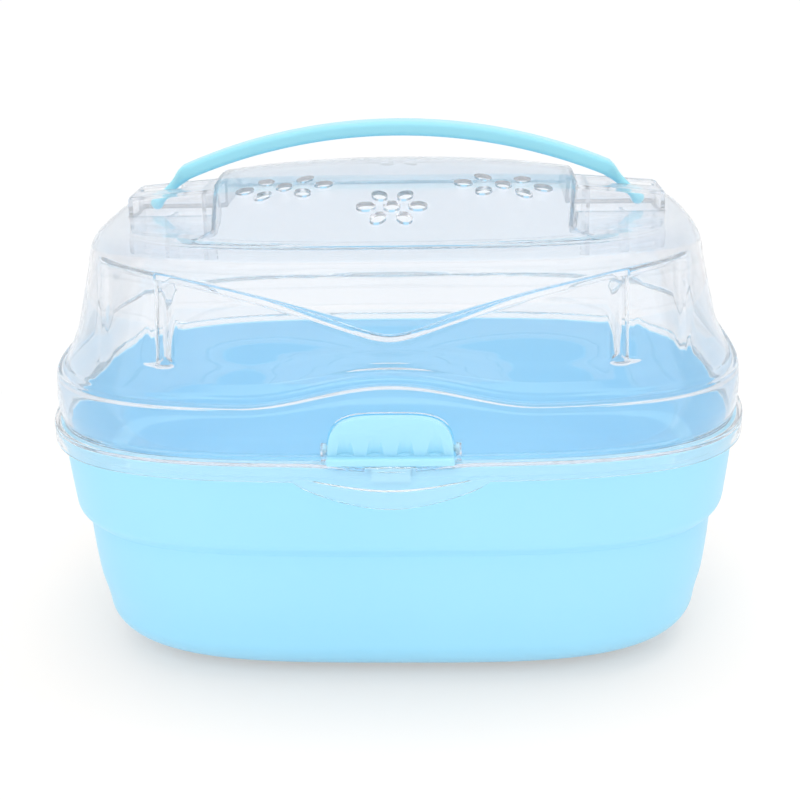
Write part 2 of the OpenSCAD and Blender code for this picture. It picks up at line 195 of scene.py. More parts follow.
def join(name, pieces):
    """Joins pieces into one object without the join operator, so nothing depends on what is selected."""
    whole = bmesh.new()
    for piece in pieces:
        copy = piece.data.copy()
        copy.transform(piece.matrix_world)
        whole.from_mesh(copy)
        bpy.data.meshes.remove(copy)
        bpy.data.objects.remove(piece)
    mesh = bpy.data.meshes.new(name)
    whole.to_mesh(mesh)
    whole.free()
    joined = bpy.data.objects.new(name, mesh)
    scene.collection.objects.link(joined)
    return joined


def fix_normals(piece):
    """Turns all faces outwards."""
    work = bmesh.new()
    work.from_mesh(piece.data)
    bmesh.ops.recalc_face_normals(work, faces=work.faces)
    work.to_mesh(piece.data)
    work.free()


# %% [markdown]
# ## The plan outline
# Seen from above, the carrier is a squarish oval: a superellipse. Each row of a shell is that outline moved
# inwards by an inset, so the walls stay even all round.

# %% Plan outline
HALF_W, HALF_D, SQUARENESS = 130.0, 93.0, 3.5
WIDEST = 0.9995  # share of the half width beyond which the front is taken as its end


def superellipse(c, s, power):
    """How far a superellipse of half width 1 reaches in the direction with this cosine and sine."""
    return (abs(c) ** power + abs(s) ** power) ** (-1 / power)


def plan(inset, t):
    """Points of the outline at an inset, for an array of directions t in radians."""
    c, s = np.cos(t), np.sin(t)
    reach = superellipse(c, s, SQUARENESS)
    return (HALF_W - inset) * c * reach, (HALF_D - inset) * s * reach


def front_y(x, inset):
    """Where the front of the outline lies at x."""
    share = np.minimum(np.abs(x) / (HALF_W - inset), WIDEST)
    return -(HALF_D - inset) * (1 - share**SQUARENESS) ** (1 / SQUARENESS)


def ease(value, low, high):
    """0 below low, 1 above high, and a soft step between."""
    u = np.clip((value - low) / (high - low), 0, 1)
    return u * u * (3 - 2 * u)


print("front of the outline at x = 0 and 100:", front_y(0, 0), round(float(front_y(100, 0)), 1))

# %% [markdown]
# ## The tub
# The real tub is one injection moulding: a flat foot, a big round, a leaning wall, a step two thirds of the
# way up that lets tubs stack, and a thick band at the rim. It could be a solid with the inside cut out, but a
# profile that goes up the outside, over the rim and down the inside makes the whole moulding in one grid.

# %% Tub
FOOT_INSET, ROUND_W, ROUND_H = 46, 32.5, 20  # the flat foot and the big round over it
FLOOR_T, INNER_FOOT, INNER_W, INNER_H = 2, 47, 31.7, 19  # the floor, and the same round inside
TUB_COLUMNS = 360


def tub_profile():
    """Marks of [inset, z] up the outside, over the rim and down the inside."""
    turns = [radians(a) for a in range(0, 91, 10)]
    outside = [(FOOT_INSET - ROUND_W * sin(a), ROUND_H * (1 - cos(a))) for a in turns]
    outside += [(12.6, 25), (11.3, 31), (10.2, 41), (9.45, 51.5), (9.25, 55.4)]
    step = [(9.2, 56.1), (9.0, 56.5), (8.6, 56.9), (6.7, 59.0), (6.1, 59.8), (5.6, 60.8), (5.2, 62.2)]
    neck = [(4.8, 66), (3.9, 76), (3.0, 87.4), (2.9, 88.9), (2.5, 89.4), (2.05, 89.7), (2.0, 90.2)]
    rim = [(2.0, 92.6), (2.15, 93.0), (2.5, 93.2), (4.4, 93.2), (4.8, 93.05), (4.9, 92.6)]
    inside = [(4.95, 88), (5.9, 76), (7.2, 62.8), (7.6, 61.4), (8.7, 59.6), (10.2, 57.4)]
    inside += [(10.8, 56.2), (11.1, 54), (12.1, 42), (13.4, 31), (14.4, 25)]
    inner_turns = [radians(a) for a in range(85, -1, -10)]
    inside += [(INNER_FOOT - INNER_W * sin(a), FLOOR_T + INNER_H * (1 - cos(a))) for a in inner_turns]
    return through(outside + step + neck + rim + inside, 3)


def make_tub():
    t = np.linspace(0, 2 * pi, TUB_COLUMNS, endpoint=False)
    rows = []
    for inset, z in tub_profile():
        x, y = plan(inset, t)
        rows.append(np.stack([x, y, np.full_like(x, z)], axis=1))
    return grid_mesh("tub_shell", np.array(rows), capped=True)


tub = make_tub()
smooth_by_angle(tub, 40)
print("tub points:", len(tub.data.vertices))

# %% [markdown]
# ## The lid's profile
# A clear moulding shows both faces of its wall, so each face is a grid of its own. The marks give the outer
# and the inner face side by side: the skirt over the tub's rim, the flange, the lower tier and its ledge. At
# the front the ledge rises in a wave over the latch, so each mark also says how much of the wave it takes. A
# Solidify modifier would make the inner face by itself, but it folds where an edge is rounder than the wall.

# %% Lid profile
WALL, SILL, SHOULDER = 1.6, 31.0, 68.3
RING_INSET = 28.5  # inset of the shoulder's last row, where the top begins
WAVE_HALF, WAVE_RISE = 52, 7.6


def foot_marks():
    """Marks of [inset, height over the flange, inner inset, inner height, share of the wave]."""
    skirt = [(0.45, -7, 1.15, -7), (0.12, -6.85, 1.48, -6.85), (0, -6.4, 1.6, -6.4), (0, -5.8, 1.6, -5.8)]
    skirt += [(0, -5.4, 1.6, -5.4), (0, -5.0, 1.6, -5.0), (0, -4.4, 1.6, -4.4), (0, -3.5, 1.6, -3.8)]
    flange = [(0, -1.1, 1.6, -2.4), (0.1, -0.5, 1.75, -1.85), (0.35, -0.1, 2.1, -1.62), (0.8, 0, 2.6, -1.6)]
    flange += [(2.6, 0, 4.4, -1.6), (3.3, 0.1, 5.0, -1.5), (3.55, 0.5, 5.25, -1.0), (3.4, 1.1, 5.0, 0.5)]
    tier = [(2.6, 2.2, 4.25, 1.9, 0), (2.1, 5, 3.7, 4.9, 0.04), (1.9, 8, 3.5, 8, 0.15)]
    tier += [(1.95, 12, 3.55, 12, 0.42), (2.2, 15.5, 3.85, 15, 0.75), (2.45, 17.7, 4.2, 16.5, 0.95)]
    ledge = [(2.75, 18.6, 4.7, 17.3, 1), (3.3, 19.15, 5.2, 17.75, 1), (4.3, 19.4, 5.9, 18.1, 1)]
    ledge += [(5.0, 19.7, 6.5, 18.7, 1), (5.5, 20.5, 7.05, 19.7, 1), (5.8, 21.5, 7.4, 21, 1)]
    return [(*mark, 0) for mark in skirt + flange] + tier + ledge + [(6.6, 23, 8.1, 22.4, 0.88)]


def wall_marks():
    """Marks of [inset, height over the flange] up the leaning wall and over the shoulder."""
    wall = [(6.6, 23), (8.1, 26), (9.5, 29.2), (10.6, 32), (11.5, 35), (12.7, 40), (14.0, 45.6), (15.2, 50.8)]
    turn = [(16.2, 55.4), (16.8, 59), (17.4, 61.6), (18.4, 64), (20.1, 66), (22.6, 67.3), (25.4, 68)]
    return wall + turn + [(RING_INSET, SHOULDER)]


def moved_in(curve, wall):
    """The curve moved inwards by the wall, square to itself."""
    slope = np.gradient(curve, axis=0)
    slope /= np.linalg.norm(slope, axis=1)[:, None]
    return curve + wall * np.stack([slope[:, 1], -slope[:, 0]], axis=1)


def wave(x, y):
    """How far the ledge rises over the latch. It stays level beside the latch and at the back."""
    rise = WAVE_RISE * (1 + np.cos(pi * np.clip(np.abs(x) / WAVE_HALF, 0, 1))) / 2
    return np.where((np.abs(x) < WAVE_HALF) & (y < 0), rise, 0)


print("marks of the foot and the wall:", len(foot_marks()), len(wall_marks()))

# %% [markdown]
# ## The front window
# The clear front is pressed in by five millimetres, so the light breaks along a vee above it and along its
# two upright ends. Outside those ends lie two shallow corner panels. They could be cut with a Boolean
# modifier, but then the walls would meet in hard edges, so the depth is a function of the place instead.

# %% Window
WINDOW_EDGE, WINDOW_OUT, PANEL_OUT = 73.6, 79.6, 100.5
WINDOW_FOOT = 24  # height at which the window starts to lean in
VEE_LOW, VEE_SLOPE, VEE_ROUND, VEE_BEND = 38.7, 0.443, 8, 0.00198
EDGE_SHIFT = 0.8  # the inner face's upright edges lie this share of the wall further out
PRESSED = (
    (WINDOW_EDGE - 0.8, 5.0),
    (WINDOW_EDGE + 0.8, 4.85),
    (WINDOW_OUT - 0.9, 3.7),
    (WINDOW_OUT, 1.4),
    (PANEL_OUT - 1.8, 1.0),
    (PANEL_OUT + 1.8, 0),
)
EDGE_X, EDGE_DEPTH = zip(*PRESSED)


def vee(x):
    """Height of the vee over the window: round in the middle, and nearly straight to both sides."""
    return VEE_LOW + VEE_SLOPE * (np.sqrt(x * x + VEE_ROUND**2) - VEE_ROUND) - VEE_BEND * x * x


def window_depth(x, height, wall):
    """How far the wall is pressed in: the window, its sharp edge, then the shallow corner panel.

    The sill at the foot is sharp only beside that edge. Elsewhere the window leans out to nothing at its
    foot, alike on both faces, because a wedge between them would bend the view. The inner vee is rounder."""
    side = np.abs(x) - EDGE_SHIFT * wall
    depth = np.interp(side, EDGE_X, EDGE_DEPTH)
    sharp = ease(side, WINDOW_OUT - 7, WINDOW_OUT - 2) * (1 - ease(side, WINDOW_OUT + 0.5, WINDOW_OUT + 4))
    leaning = np.clip((height - WINDOW_FOOT) / (vee(x) - WINDOW_FOOT), 0, 1)
    stepped = ease(height, SILL - wall - 0.6, SILL - wall + 0.6)
    depth = depth * (leaning * (1 - sharp) + stepped * sharp)
    shelf = vee(x) + wall
    return depth * (1 - ease(height, shelf - 0.75 - 0.5 * wall, shelf + 0.15 + 0.4 * wall))


print("depth in the middle at heights 25, 30 and 38:", window_depth(0.0, np.array([25, 30, 38]), 0).round(2))

# %% [markdown]
# ## The crown and the towers
# The crown between the handle towers is a low dome with upright sides. The towers are two blocks that the
# handle plugs into. They could be boxes on top of a dome, but every column of the lid's grid runs straight to
# the middle, so here their edges are found where the column's ray meets them.

# %% Crown and towers
CROWN_W, CROWN_FRONT, CROWN_BACK, TOWER_OUT, TOWER_HALF_D = 68.0, 56.0, 62.0, 101.0, 12.0
CROWN_TAPER, CROWN_CORNER, TOWER_CORNER = 0.12, 2.5, 1.6
CROWN_TOP, SIDE_DROP, END_DROP = 85.9, 4.4, 17  # the dome's top, and its fall to the sides and the ends
DOME_Y, DOME_FRONT, DOME_BACK = 5, 67, 57  # the dome's middle, and its reach to the front and the back
TOWER_LOW, TOWER_RISE, TOWER_RUN = 75.6, 2.8, 34  # the tower's roof rises towards the crown
FAR = 1e4  # a side that is met further out than this is missed


def crown_height(x, y):
    across = (np.minimum(np.abs(x), CROWN_W) / CROWN_W) ** 2.3
    along = (np.abs(y - DOME_Y) / np.where(y < DOME_Y, DOME_FRONT, DOME_BACK)) ** 1.85
    return CROWN_TOP - SIDE_DROP * across - END_DROP * along


def tower_height(x):
    return TOWER_LOW + TOWER_RISE * (TOWER_OUT - np.abs(x)) / TOWER_RUN


def soft_max(a, b, blend=0.8):
    """The larger of two heights, with a soft bend where they cross."""
    return (a + b + np.sqrt((a - b) ** 2 + blend**2)) / 2


def box_edge(angle, half_x, half_y, corner):
    """Distance along a ray to the edge of a box whose corners are eased by about the given amount."""
    a = half_x / max(abs(cos(angle)), TINY)
    b = half_y / max(abs(sin(angle)), TINY)
    if max(a, b) > FAR:
        return min(a, b)
    return (a + b - sqrt((a - b) ** 2 + corner**2)) / 2


def crown_edge(angle, wall):
    """The crown's edge. Its sides draw in a little towards the front."""
    if sin(angle) >= 0:
        return box_edge(angle, CROWN_W - wall, CROWN_BACK - wall, CROWN_CORNER)
    half_w = CROWN_W - wall + TOWER_HALF_D * CROWN_TAPER
    drawn_in = half_w / (abs(cos(angle)) + CROWN_TAPER * abs(sin(angle)))
    return min(box_edge(angle, CROWN_W - wall, CROWN_FRONT - wall, CROWN_CORNER), drawn_in)


def tower_edge(angle, wall):
    return box_edge(angle, TOWER_OUT - wall, TOWER_HALF_D - wall, TOWER_CORNER)


print("heights of the crown and a tower:", float(crown_height(0, 0).round(1)), tower_height(TOWER_OUT))

# %% [markdown]
# ## Columns along the edges
# An edge that crosses a grid comes out as a saw. So columns run right along the upright edges of the window
# and the corners of the towers, and rows follow the vee. Evenly spaced columns would need many more.

# %% Columns and rows
COLUMN_INSET = 14  # the upright edges' columns are placed by their x at this inset
CORNER_TURN, JOINT_TURN, REAR_TURN = radians(1.3), 0.002, 0.03  # half of the angle round each corner
LEVEL_TOP, WALL_TOP = 35, 64  # between these heights the rows follow the vee
BELOW_VEE, ABOVE_VEE = 1.2, 0.9  # how far from the vee the fine rows reach


def column_angle(x):
    """Polar angle of the column that stands at a given x on the front wall."""
    share = x / (HALF_W - COLUMN_INSET)
    depth = (HALF_D - RING_INSET) * (1 - share**SQUARENESS) ** (1 / SQUARENESS)
    return atan2(depth, (HALF_W - RING_INSET) * share)


def spread(marks, counts):
    """Angles from the first mark to the last, with counts steps between the marks."""
    angles = [np.linspace(a, b, n, endpoint=False) for a, b, n in zip(marks, marks[1:], counts)]
    return np.concatenate(angles)


def column_angles(wall):
    """Polar angles of the columns for one face of the wall, as many for both faces."""
    corner = atan2(TOWER_HALF_D - wall, TOWER_OUT - wall)
    joint = atan2(TOWER_HALF_D - wall, CROWN_W - wall)
    tower_marks = [0, corner - CORNER_TURN, corner + CORNER_TURN, joint - JOINT_TURN, joint + JOINT_TURN]
    edges = sorted([*EDGE_X, WINDOW_OUT + 0.5, WINDOW_OUT - 1.4], reverse=True)
    panel = [column_angle(x + EDGE_SHIFT * wall) for x in edges]
    front = spread([*tower_marks, *panel, pi / 2], [5, 10, 3, 1, 18, 6, 9, 1, 3, 1, 4, 3, 48])
    rear_corner = atan2(CROWN_BACK - wall, CROWN_W - wall)
    rear_marks = [rear_corner - REAR_TURN, rear_corner + REAR_TURN, pi / 2]
    rear = spread([*tower_marks, *rear_marks], [5, 10, 3, 1, 26, 8, 40])
    whole = [*rear, pi / 2, *(pi - rear[:0:-1]), pi]
    whole += [*(pi + front[1:]), 3 * pi / 2, *(2 * pi - front[:0:-1])]
    return np.array(whole)


def wall_rows():
    """Rows as [share of the way, offset, kind], where the kinds are below, near and above the vee."""
    low = [24, 25, 26, 27, 28, 28.6, 29.1, 29.5, 29.8, 30.1, 30.4, 30.7]
    low += [31, 31.3, 31.7, 32.3, 33, 34, LEVEL_TOP]
    near = [-1, -0.8, -0.65, -0.5, -0.38, -0.26, -0.14, -0.04, 0.06, 0.16, 0.3, 0.6]
    rows = [(0, z, "level") for z in low]
    rows += [(u, 0, "below") for u in np.linspace(0, 1, 12)[1:]]
    rows += [(0, offset, "near") for offset in near]
    rows += [(u, 0, "above") for u in np.linspace(0, 1, 14)]
    return rows


print("lid columns:", len(column_angles(0)), len(column_angles(WALL)), "wall rows:", len(wall_rows()))

# %% [markdown]
# ## Rows of the foot
# The skirt hangs over the tub's rim. In the middle of the front it swells out round the latch's claw and
# ends in a finger lip with a small ridge. A separate lip would show a seam, so the same rows carry it.

# %% Foot rows
BULGE_HALF, BULGE_OUT = 33, 5
LIP_DROP = ([3.5, 5.2, 7], [0, 3.2, 7])  # depths under the flange, and how much further the lip hangs there
LIP_FLARE = ([4.4, 5.0, 5.4, 7], [0, 1.0, 0.5, 1.9])  # the same for how far it stands out, with the ridge


def foot_grid(t, wall):
    """Rows of the skirt, flange, tier and ledge, with the bulge and finger lip at the front."""
    rows = []
    for inset, height, inner_inset, inner_height, share in through(foot_marks(), 3):
        x, y = plan(inner_inset if wall else inset, t)
        z = (inner_height if wall else height) + share * wave(x, y)
        if height < 0.2:
            side = np.clip(np.abs(x) / BULGE_HALF, 0, 1)
            half_wave = np.cos(pi / 2 * side)
            front = (y < 0) & (side < 1)
            out = BULGE_OUT * half_wave**2 * (1 - ease(inset, 0.9, 3.4))
            hang = np.clip(half_wave, 0, 1) ** 0.6
            y = np.where(front, y - out - np.interp(-height, *LIP_FLARE) * hang, y)
            z = np.where(front, z - np.interp(-height, *LIP_DROP) * hang, z)
        rows.append(np.stack([x, y, z], axis=1))
    return rows


print("foot rows:", len(foot_grid(column_angles(0), 0)))

# %% [markdown]
# ## Rows of the wall
# Each row has a height, the profile gives its inset there, and the window presses it in. At the front the
# columns keep their x, so that the window's ends stand upright though the wall leans.

# %% Wall rows
STEADY_X, FREE_X = 101.5, 112  # columns up to the first x stand upright, and past the second they lean
SIDE_SHELF = 50  # the height that the rows take at the sides, where there is no vee
SHOULDER_FROM = 64.3
LEDGE_WAVE = ([23, 26, 29.2, 32, LEVEL_TOP], [0.88, 0.55, 0.3, 0.15, 0])  # heights and shares of the wave


def row_height(share, offset, kind, shelf, wall):
    if kind == "level":
        return np.full_like(shelf, offset)
    if kind == "below":
        return LEVEL_TOP + (shelf - BELOW_VEE - LEVEL_TOP) * share
    if kind == "near":
        return shelf + offset
    return shelf + ABOVE_VEE + (WALL_TOP - wall - shelf - ABOVE_VEE) * share


def wall_grid(t, wall):
    """Rows of the leaning wall, sliding up and down at the front to follow the vee."""
    profile = through(wall_marks(), 6)
    profile = moved_in(profile, wall) if wall else profile
    column_x, column_y = plan(COLUMN_INSET, t)
    steady = np.where(column_y < 0, 1 - ease(np.abs(column_x), STEADY_X, FREE_X), 0)
    rows = []
    for share, offset, kind in wall_rows():
        x = column_x
        for _ in range(3):  # the height depends on x, and x on the height, so three passes settle both
            shelf = SIDE_SHELF + (vee(x) + wall - SIDE_SHELF) * steady
            z = row_height(share, offset, kind, shelf, wall)
            inset = np.interp(z, profile[:, 1], profile[:, 0])
            hold = steady * ease(z, WINDOW_FOOT, 30) * (1 - ease(z, 61, WALL_TOP))
            x_plan, y_plan = plan(inset, t)
            x = x_plan + (column_x - x_plan) * hold
        y_front = front_y(x, inset + window_depth(x, z, wall))
        y = np.where(steady > 0, y_front, y_plan)
        ledge_wave = np.interp(z, *LEDGE_WAVE) * wave(x, y)
        rows.append(np.stack([x, y, z + ledge_wave * ease(LEVEL_TOP - z, 0, 2)], axis=1))
    for inset, height in profile:
        if height > SHOULDER_FROM - wall:
            x, y = plan(inset, t)
            rows.append(np.stack([x, y, np.full_like(x, height)], axis=1))
    return rows


print("wall rows with the shoulder:", len(wall_grid(column_angles(0), 0)))

# %% [markdown]
# ## Rows of the top
# Wall, shoulder, towers and crown are rows of one grid, so light runs over them without a break. Boxes for
# the towers would be simpler, but their hidden walls would show through the clear plastic.

# %% Top rows
LONGEST_BEND = 0.45  # a bend takes up at most this share of the side beside it
OUTER_BENDS, INNER_BENDS = [0.9, 1.4, 0.8, 1.5], [1.4, 0.6, 1.2, 0.6]
CROWN_START = 4  # the crown's own rows begin this far inside its edge


def rounded(corners, radii, bend=5):
    """Replaces each inner corner of a path with a small arc of bend points, and keeps the two ends."""
    corners = [np.array(c, float) for c in corners]
    path = [corners[0]]
    for before, corner, after, radius in zip(corners, corners[1:], corners[2:], radii):
        back, ahead = before - corner, after - corner
        back_length, ahead_length = np.linalg.norm(back) + TINY, np.linalg.norm(ahead) + TINY
        start = corner + back / back_length * min(radius, back_length * LONGEST_BEND)
        end = corner + ahead / ahead_length * min(radius, ahead_length * LONGEST_BEND)
        for u in np.linspace(0, 1, bend):
            path.append((1 - u) ** 2 * start + 2 * u * (1 - u) * corner + u * u * end)
    path.append(corners[-1])
    return path


def top_path(angle, ring_distance, wall):
    """Path of [distance from the middle, height] up over a tower or the crown's side, for one column."""
    c, s = cos(angle), sin(angle)
    inner = crown_edge(angle, wall)
    edge = max(inner, tower_edge(angle, wall))
    base = SHOULDER + 0.1 - wall
    crown_at_edge = float(crown_height(inner * c, inner * s)) - wall
    inside = inner - CROWN_START
    last = (inside, float(soft_max(base, crown_height(inside * c, inside * s) - wall)))
    if edge > inner + 0.3:  # the ray crosses a tower
        top_out = float(tower_height(edge * c)) - wall
        top_in = float(tower_height(inner * c)) - wall
        marks = [(edge, base), (edge - 0.15, top_out), (inner + 0.1, top_in), (inner - 0.2, crown_at_edge)]
    else:
        rise = float(soft_max(base, crown_at_edge)) - base
        spread_out = 1.6 * (1 - min(rise / 2.5, 1))
        shares = ((0.6, 0), (0.1, 0.4), (-0.4, 0.77), (-1.0, 1))
        marks = [(inner + spread_out * out - 0.15 * up, base + rise * up) for out, up in shares]
    start = (min(edge + 2.4, ring_distance - 0.3), base)
    return rounded([start, *marks, last], INNER_BENDS if wall else OUTER_BENDS)


def top_grid(angles, ring, wall):
    """Rows from the shoulder in to the middle, over the towers and the crown."""
    base = SHOULDER + 0.1 - wall
    ring_distance = np.hypot(ring[:, 0], ring[:, 1])
    paths = np.array([top_path(a, d, wall) for a, d in zip(angles, ring_distance)])
    cosines, sines = np.cos(angles), np.sin(angles)
    rows = []

    def add_row(distance, height, under_crown):
        x, y = cosines * distance, sines * distance
        dome = (np.abs(x) < CROWN_W) & under_crown
        height = np.where(dome, np.maximum(height, soft_max(base, crown_height(x, y) - wall)), height)
        rows.append(np.stack([x, y, height], axis=1))

    front = (sines < 0) & (np.abs(sines) > 0.6)
    for u in np.linspace(0, 1, 9)[1:-1]:
        distance = ring_distance * (1 - u) + paths[:, 0, 0] * u
        add_row(distance, base - 0.1 + 0.1 * u, front)
    for step in range(paths.shape[1]):
        add_row(paths[:, step, 0], paths[:, step, 1], front)
    inner = paths[:, -1, 0]
    for u in 1 - np.linspace(0, 1, 30)[1:-1]:
        add_row(inner * u, np.full_like(inner, base), True)
    return rows


print("points of one column's path:", len(top_path(0.1, 101.5, 0)))

# %% [markdown]
# ## Both faces of the lid
# The outer and the inner grid are one loop: up outside, over the middle and back down inside. The faces that
# join them in the middle run through the wall, so they are deleted, and doubled points are merged.

# %% Lid
SAME_POINT = 1e-7  # metres within which two points are one


def lid_face(wall):
    """The grid of one face of the lid's wall, in mm."""
    angles = column_angles(wall)
    t = np.arctan2((HALF_W - RING_INSET) * np.sin(angles), (HALF_D - RING_INSET) * np.cos(angles))
    rows = foot_grid(t, wall) + wall_grid(t, wall)
    rows += top_grid(angles, rows[-1], wall)
    face = np.array(rows)
    face[:, :, 2] += FLANGE
    return face


def crosses_middle(face):
    """True for the faces between the two poles, which would join the two faces through the wall."""
    return all(v.co.x**2 + v.co.y**2 < 1e-12 for v in face.verts)


def make_lid():
    outer, inner = lid_face(0), lid_face(WALL)
    print("rows of the two faces:", len(outer), len(inner))
    poles = [face[-1].mean(axis=0)[None, None] * np.ones((1, face.shape[1], 1)) for face in (outer, inner)]
    piece = grid_mesh("lid_shell", np.concatenate([inner[:1], outer, *poles, inner[::-1]]))
    work = bmesh.new()
    work.from_mesh(piece.data)
    bmesh.ops.delete(work, geom=[f for f in work.faces if crosses_middle(f)], context="FACES_ONLY")
    bmesh.ops.remove_doubles(work, verts=work.verts, dist=SAME_POINT)
    bmesh.ops.recalc_face_normals(work, faces=work.faces)
    work.to_mesh(piece.data)
    work.free()
    return piece


lid = make_lid()
print("lid points:", len(lid.data.vertices))

# %% [markdown]
# ## Holes in the lid
# Each vent is a round hole with six petals round it. The latch has an arch in the lower tier and a slot for
# its claw, the handle's ends have keyholes in the towers, and each tower has a small opening in its end.
# Boolean modifiers cut them, because holes that follow the grid would need far more columns.

# %% Cutters
ARCH_SQUARE, ARCH_W, ARCH_H = 3.7, 43.3, 17.25
ENTRY_X, ENTRY_R, SLOT_X, SLOT_R = 83.0, 3, 96.0, 2.3
VENT_R, MIDDLE_STRETCH, PETAL_STRETCH = 2.7, 1.15, 1.3
VENT_FLOWERS = ((0, -41, 9.2, 8.4), (0, 26, 9.2, 8.4), (40, -23, 14.5, 6.8), (-40, -23, 14.5, 6.8))


def prism(name, outline, along, low, high):
    """A closed prism of an outline in mm. along is 'z' for outlines in X and Y, or 'y' for X and Z."""
    count = len(outline)
    points = []
    for level in (low, high):
        for a, b in outline:
            points.append((a, b, level) if along == "z" else (a, level, b))
    order = 1 if along == "z" else -1
    faces = [tuple(range(count))[::-order], tuple(range(count, 2 * count))[::order]]
    for i in range(count):
        j = (i + 1) % count
        faces.append((i, j, count + j, count + i)[::order])
    return object_from(name, points, faces)


def ring_of(x, y, radius, count=28):
    turns = [2 * pi * k / count for k in range(count)]
    return [(x + radius * cos(a), y + radius * sin(a)) for a in turns]


def arch(width, height, low):
    """Outline of the latch: upright sides, round shoulders and a bowed top. It is half a superellipse."""
    points = [(-width / 2, low), (width / 2, low)]
    for a in np.linspace(0, pi, 33)[1:-1]:
        reach = superellipse(cos(a), sin(a), ARCH_SQUARE)
        points.append((width / 2 * cos(a) * reach, low + height * sin(a) * reach))
    return points


def keyhole(side):
    """Outline of one handle slot: a round entry towards the middle, then a narrow slot."""
    entry_turns = np.linspace(radians(50), radians(310), 16)
    points = [(side * (ENTRY_X + ENTRY_R * cos(a)), ENTRY_R * sin(a)) for a in entry_turns]
    points += [(side * (SLOT_X + SLOT_R * cos(a)), SLOT_R * sin(a)) for a in np.linspace(-pi / 2, pi / 2, 10)]
    return points if side > 0 else points[::-1]


def petal(x, y, toward):
    """Outline of one petal: a round hole drawn out along its ray."""
    points = []
    for a in np.linspace(0, 2 * pi, 28, endpoint=False):
        along, across = VENT_R * PETAL_STRETCH * cos(a), VENT_R * sin(a)
        turned_x = x + along * cos(toward) - across * sin(toward)
        turned_y = y + along * sin(toward) + across * cos(toward)
        points.append((turned_x, turned_y))
    return points


print("points of the arch and a keyhole:", len(arch(ARCH_W, ARCH_H, 0)), len(keyhole(1)))

# %% [markdown]
# ## Cutting
# All the vents are one cutter, because one Boolean over many holes is quicker than one for each. The others
# follow one by one. A tower's keyhole and end opening are the same on both sides, so a loop mirrors them.

# %% Cut the lid
VENT_LOW, VENT_HIGH = FLANGE + 66, FLANGE + 100
CLAW_SLOT = [(-8.5, -95.8), (8.5, -95.8), (8.5, -89), (-8.5, -89)]


def vents():
    holes = []
    for x, y, wide, deep in VENT_FLOWERS:
        outlines = [ring_of(x, y, VENT_R * MIDDLE_STRETCH)]
        for a in np.radians(range(0, 360, 60)):
            out_x, out_y = wide * cos(a), deep * sin(a)
            outlines.append(petal(x + out_x, y + out_y, atan2(out_y, out_x)))
        holes += [prism("vent", outline, "z", VENT_LOW, VENT_HIGH) for outline in outlines]
    return join("vents", holes)


def cut_lid():
    cut(lid, [vents()])
    cut(lid, [prism("arch_cut", arch(ARCH_W, ARCH_H, FLANGE + 0.02), "y", -101, -84)])
    cut(lid, [prism("claw_cut", CLAW_SLOT, "z", FLANGE - 6, FLANGE + 2)])
    for side in (1, -1):
        cut(lid, [prism("keyhole", keyhole(side), "z", FLANGE + 72, FLANGE + 84)])
        end = [(side * 98, -1.6), (side * 104, -1.6), (side * 104, 1.6), (side * 98, 1.6)][::side]
        cut(lid, [prism("tower_window", end, "z", FLANGE + 68.3, FLANGE + 73.4)])


cut_lid()
smooth_by_angle(lid, 38)
print("lid faces after the holes:", len(lid.data.polygons))

# %% [markdown]
# ## The rear hinge
# Products like this have open hooks on the lid that grip two short pins on the tub. The hook is a C of 215
# degrees, so it snaps over its pin and lifts off again. It could be a ring with a Boolean gap, but an arc
# that is drawn once at each radius has clean ends.

# %% Hinge
HINGE_X, HINGE_Y, HINGE_Z, PIN_R = 55, 96.0, 87.0, 2.0
HOOK_GAP, HOOK_REACH, HOOK_HALF = 0.08, 1.98, 6.5
EAR_APART, EAR_R, EAR_T = 8.5, 3.5, 3


def tube_x(name, x, y, z, radius, length):
    """A closed round bar along X, with its middle at the given point."""
    outline = ring_of(y, z, radius, 32)
    rows = [[(x + s * length / 2, a, b) for a, b in outline] for s in (-1, 1)]
    return grid_mesh(name, np.array(rows), capped=True)


def block(name, low, high):
    """A closed block between two corners."""
    outline = [(low[0], low[1]), (high[0], low[1]), (high[0], high[1]), (low[0], high[1])]
    return prism(name, outline, "z", low[2], high[2])


def make_hook(x):
    """The C and the tab that joins it to the skirt."""
    inner, outer = PIN_R + HOOK_GAP, PIN_R + HOOK_REACH
    angles = np.radians(np.linspace(-60, 155, 36))
    points = [(HINGE_Y + inner * cos(a), HINGE_Z + inner * sin(a)) for a in angles]
    points += [(HINGE_Y + outer * cos(a), HINGE_Z + outer * sin(a)) for a in angles[::-1]]
    count = len(points)
    vertices = [(x - HOOK_HALF, *p) for p in points] + [(x + HOOK_HALF, *p) for p in points]
    faces = [(i, (i + 1) % count, count + (i + 1) % count, count + i) for i in range(count)]
    for side in (0, 1):
        for i in range(count // 2 - 1):
            a, b, c, d = i, i + 1, count - 2 - i, count - 1 - i
            quad = (a, b, c, d) if side else (d, c, b, a)
            faces.append(tuple(v + side * count for v in quad))
    hook = object_from("hook", vertices, faces)
    fix_normals(hook)
    tab = block("tab", (x - HOOK_HALF, 90.2, HINGE_Z + 2.28), (x + HOOK_HALF, HINGE_Y - 1.2, HINGE_Z + 3.68))
    return [hook, tab]


def make_ears():
    """Two ears and a pin for each hook. The webs reach in to the tub's neck."""
    parts = []
    for hinge_x in (-HINGE_X, HINGE_X):
        for side in (-1, 1):
            x = hinge_x + side * EAR_APART
            root = -float(front_y(np.array(abs(x) + EAR_T / 2), 4.1))
            low, high = (x - EAR_T / 2, root, HINGE_Z - EAR_R), (x + EAR_T / 2, HINGE_Y, HINGE_Z + 0.4)
            parts.append(tube_x("ear", x, HINGE_Y, HINGE_Z, EAR_R, EAR_T))
            parts.append(block("web", low, high))
        parts.append(tube_x("pin", hinge_x, HINGE_Y, HINGE_Z, PIN_R, 17))
    return join("tub_hinge_ears", parts)


